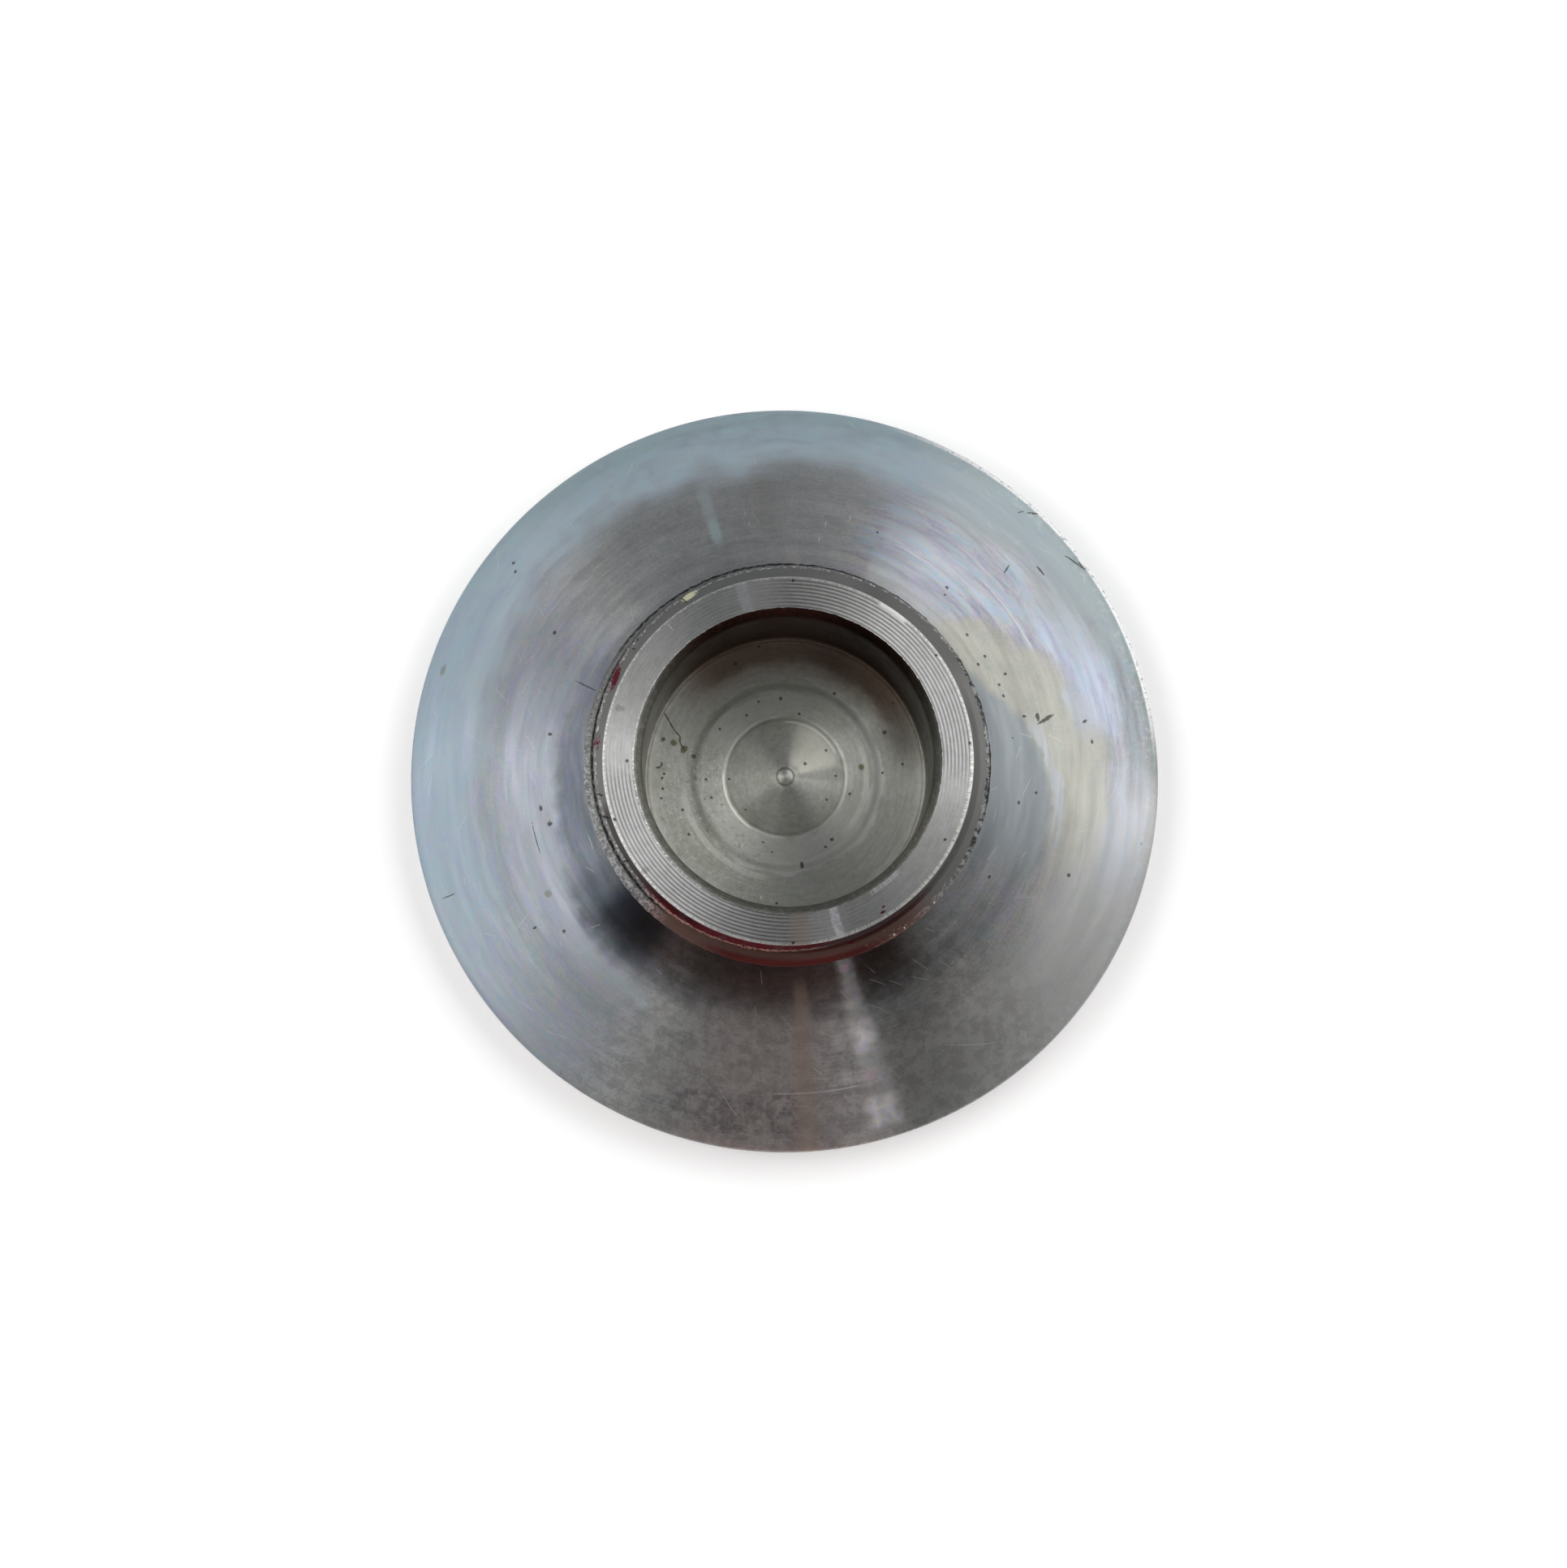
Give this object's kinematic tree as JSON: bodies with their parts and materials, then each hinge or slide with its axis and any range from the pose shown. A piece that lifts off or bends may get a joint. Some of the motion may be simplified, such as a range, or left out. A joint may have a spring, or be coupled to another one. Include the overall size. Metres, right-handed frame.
{
  "type": "sanitary clamp end cap",
  "caption": "Turned steel end cap: a clamp flange with a tapered back and a short threaded hub around a blind round pocket.",
  "frame": {"origin": "centre of the flat sealing face, which the cap rests on", "axes": "+Z along the turning axis, from the sealing face to the open end of the hub"},
  "size_m": [0.0506, 0.0506, 0.0116],
  "materials": {
    "turned_steel": "turned stainless steel, satin, with light wear and dirt"
  },
  "bodies": {
    "root": {"end_cap": "turned_steel"}
  },
  "joints": []
}
